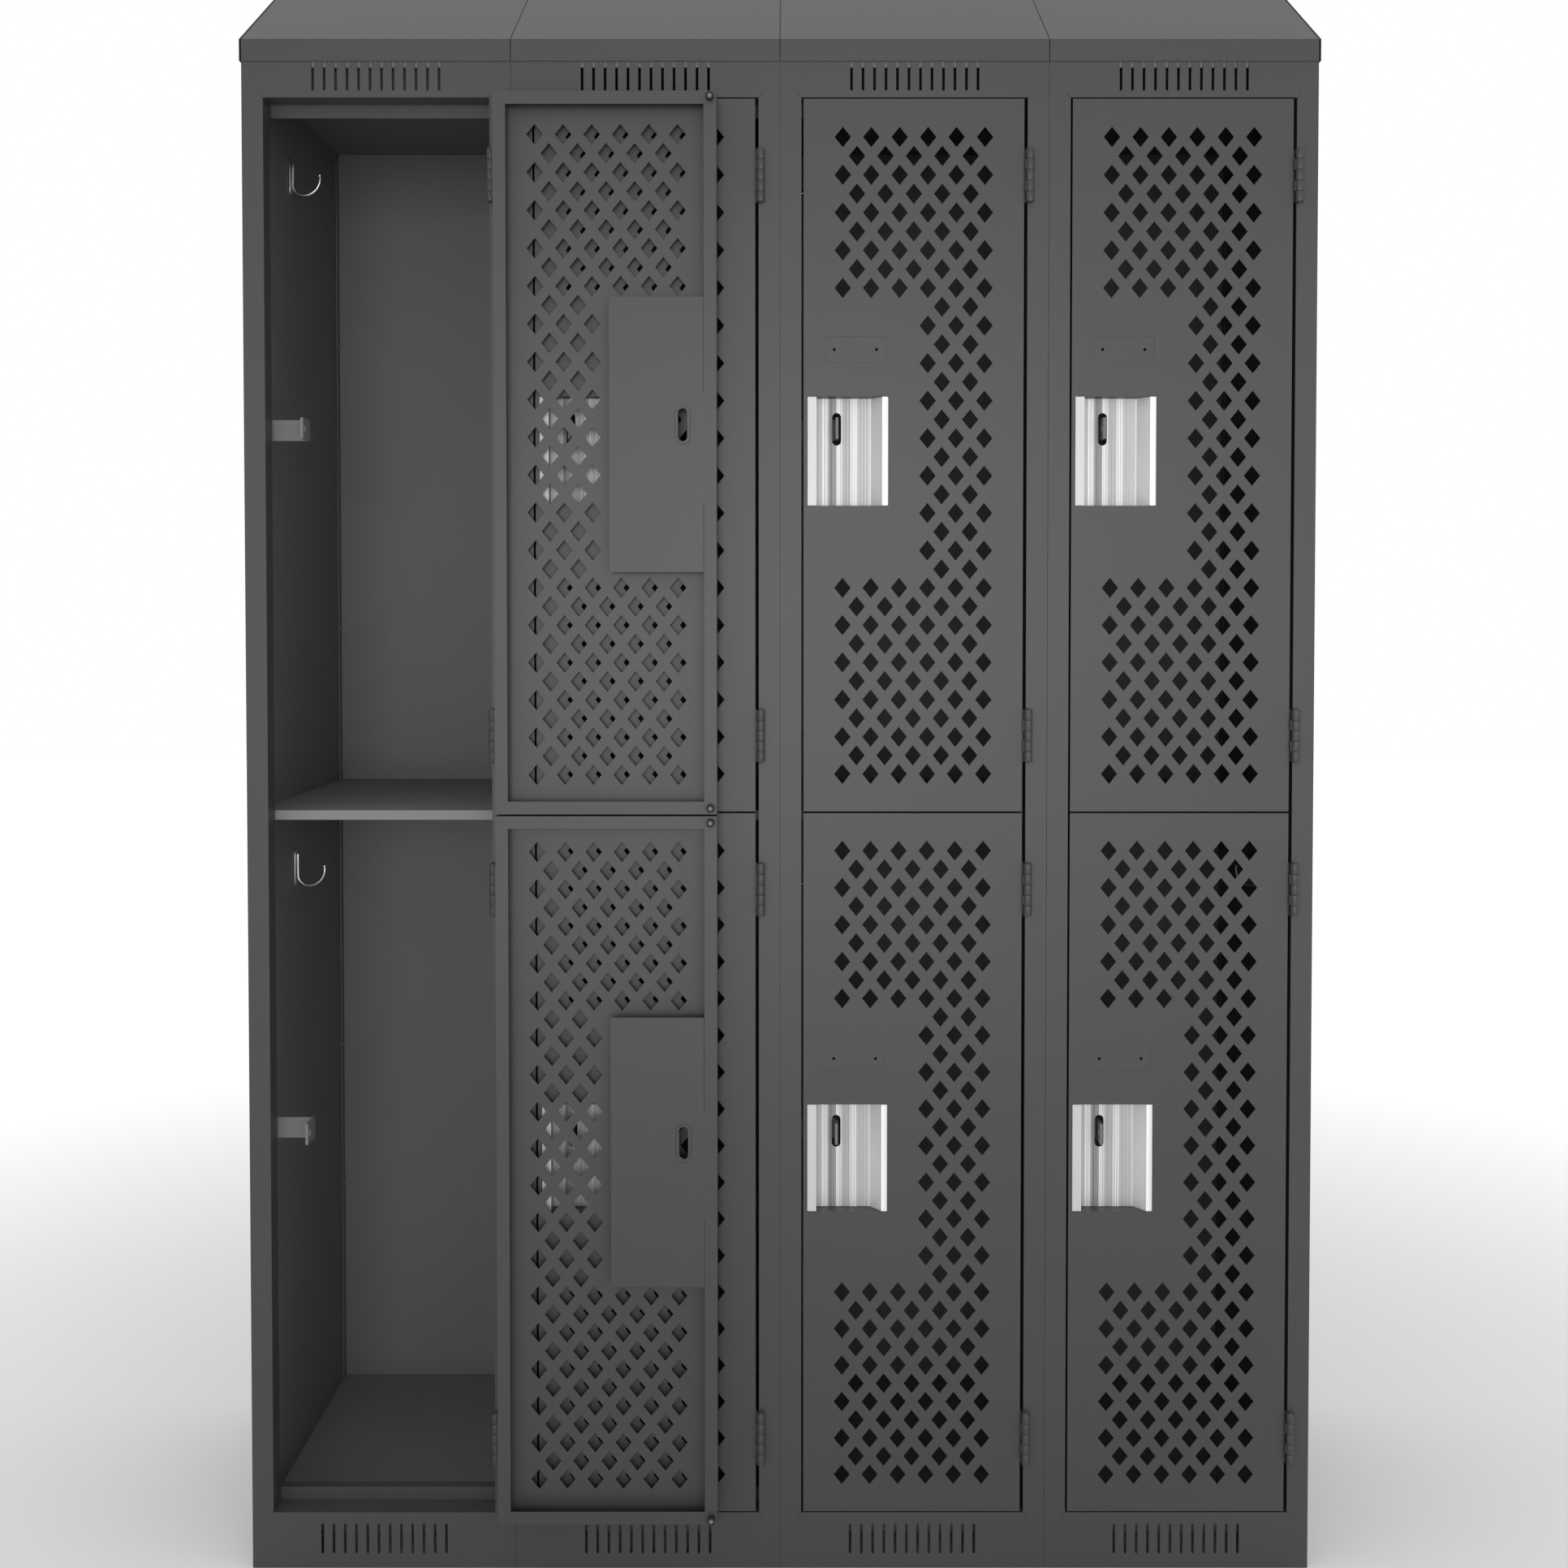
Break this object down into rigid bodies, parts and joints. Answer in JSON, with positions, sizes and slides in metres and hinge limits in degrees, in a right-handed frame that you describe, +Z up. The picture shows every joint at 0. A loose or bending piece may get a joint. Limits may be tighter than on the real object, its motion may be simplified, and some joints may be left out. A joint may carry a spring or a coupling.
{
  "type": "locker cabinet",
  "caption": "Bank of two-tier steel lockers with diamond-perforated hinged doors, recessed aluminium handle pockets, padlock staples and sloped tops.",
  "frame": {"origin": "middle of the bank on the floor, under the middle partition", "axes": "+X to the right along the front, +Y from the front to the back, +Z up"},
  "size_m": [1.2276, 0.5006, 2.0396],
  "materials": {
    "frame_paint": "satin powder coat",
    "door_paint": "satin powder coat",
    "carcass_paint": "satin powder coat",
    "pocket_aluminium": "satin anodised extrusion",
    "zinc_steel": "bright zinc plate",
    "bumper_rubber": "matt"
  },
  "bodies": {
    "cabinet": {"back_panels": "carcass_paint", "coat_hooks": "zinc_steel", "divider_shelves": "carcass_paint", "face_frame_1": "frame_paint", "face_frame_2": "frame_paint", "face_frame_3": "frame_paint", "face_frame_4": "frame_paint", "fasteners": "carcass_paint", "floor_pans": "carcass_paint", "hinge_frame_leaves": "frame_paint", "hinge_pins": "frame_paint", "hood_ends": "frame_paint", "lock_staples": "carcass_paint", "partitions": "carcass_paint", "side_panels": "carcass_paint", "slope_hood_1": "frame_paint", "slope_hood_2": "frame_paint", "slope_hood_3": "frame_paint", "slope_hood_4": "frame_paint", "top_panels": "carcass_paint"},
    "door_1_upper": {"door_1_upper_bumpers": "bumper_rubber", "door_1_upper_door_panel": "door_paint", "door_1_upper_handle_pocket": "pocket_aluminium", "door_1_upper_hinge_leaves": "door_paint", "door_1_upper_lock_cover": "door_paint"},
    "door_1_lower": {"door_1_lower_bumpers": "bumper_rubber", "door_1_lower_door_panel": "door_paint", "door_1_lower_handle_pocket": "pocket_aluminium", "door_1_lower_hinge_leaves": "door_paint", "door_1_lower_lock_cover": "door_paint"},
    "door_2_upper": {"door_2_upper_bumpers": "bumper_rubber", "door_2_upper_door_panel": "door_paint", "door_2_upper_handle_pocket": "pocket_aluminium", "door_2_upper_hinge_leaves": "door_paint", "door_2_upper_lock_cover": "door_paint"},
    "door_2_lower": {"door_2_lower_bumpers": "bumper_rubber", "door_2_lower_door_panel": "door_paint", "door_2_lower_handle_pocket": "pocket_aluminium", "door_2_lower_hinge_leaves": "door_paint", "door_2_lower_lock_cover": "door_paint"},
    "door_3_upper": {"door_3_upper_bumpers": "bumper_rubber", "door_3_upper_door_panel": "door_paint", "door_3_upper_handle_pocket": "pocket_aluminium", "door_3_upper_hinge_leaves": "door_paint", "door_3_upper_lock_cover": "door_paint"},
    "door_3_lower": {"door_3_lower_bumpers": "bumper_rubber", "door_3_lower_door_panel": "door_paint", "door_3_lower_handle_pocket": "pocket_aluminium", "door_3_lower_hinge_leaves": "door_paint", "door_3_lower_lock_cover": "door_paint"},
    "door_4_upper": {"door_4_upper_bumpers": "bumper_rubber", "door_4_upper_door_panel": "door_paint", "door_4_upper_handle_pocket": "pocket_aluminium", "door_4_upper_hinge_leaves": "door_paint", "door_4_upper_lock_cover": "door_paint"},
    "door_4_lower": {"door_4_lower_bumpers": "bumper_rubber", "door_4_lower_door_panel": "door_paint", "door_4_lower_handle_pocket": "pocket_aluminium", "door_4_lower_hinge_leaves": "door_paint", "door_4_lower_lock_cover": "door_paint"}
  },
  "joints": [
    {"name": "door_1_upper_hinge", "type": "hinge", "parent": "cabinet", "child": "door_1_upper", "pos_m": [-0.32695, -0.2338, 1.28125], "axis": [0, 0, 1], "range_deg": [-180, 0]},
    {"name": "door_1_lower_hinge", "type": "hinge", "parent": "cabinet", "child": "door_1_lower", "pos_m": [-0.32695, -0.2338, 0.47075], "axis": [0, 0, 1], "range_deg": [-180, 0]},
    {"name": "door_2_upper_hinge", "type": "hinge", "parent": "cabinet", "child": "door_2_upper", "pos_m": [-0.02215, -0.2338, 1.28125], "axis": [0, 0, 1], "range_deg": [0, 1.5]},
    {"name": "door_2_lower_hinge", "type": "hinge", "parent": "cabinet", "child": "door_2_lower", "pos_m": [-0.02215, -0.2338, 0.47075], "axis": [0, 0, 1], "range_deg": [0, 1.5]},
    {"name": "door_3_upper_hinge", "type": "hinge", "parent": "cabinet", "child": "door_3_upper", "pos_m": [0.28265, -0.2338, 1.28125], "axis": [0, 0, 1], "range_deg": [0, 180]},
    {"name": "door_3_lower_hinge", "type": "hinge", "parent": "cabinet", "child": "door_3_lower", "pos_m": [0.28265, -0.2338, 0.47075], "axis": [0, 0, 1], "range_deg": [0, 180]},
    {"name": "door_4_upper_hinge", "type": "hinge", "parent": "cabinet", "child": "door_4_upper", "pos_m": [0.58745, -0.2338, 1.28125], "axis": [0, 0, 1], "range_deg": [0, 180]},
    {"name": "door_4_lower_hinge", "type": "hinge", "parent": "cabinet", "child": "door_4_lower", "pos_m": [0.58745, -0.2338, 0.47075], "axis": [0, 0, 1], "range_deg": [0, 180]}
  ]
}
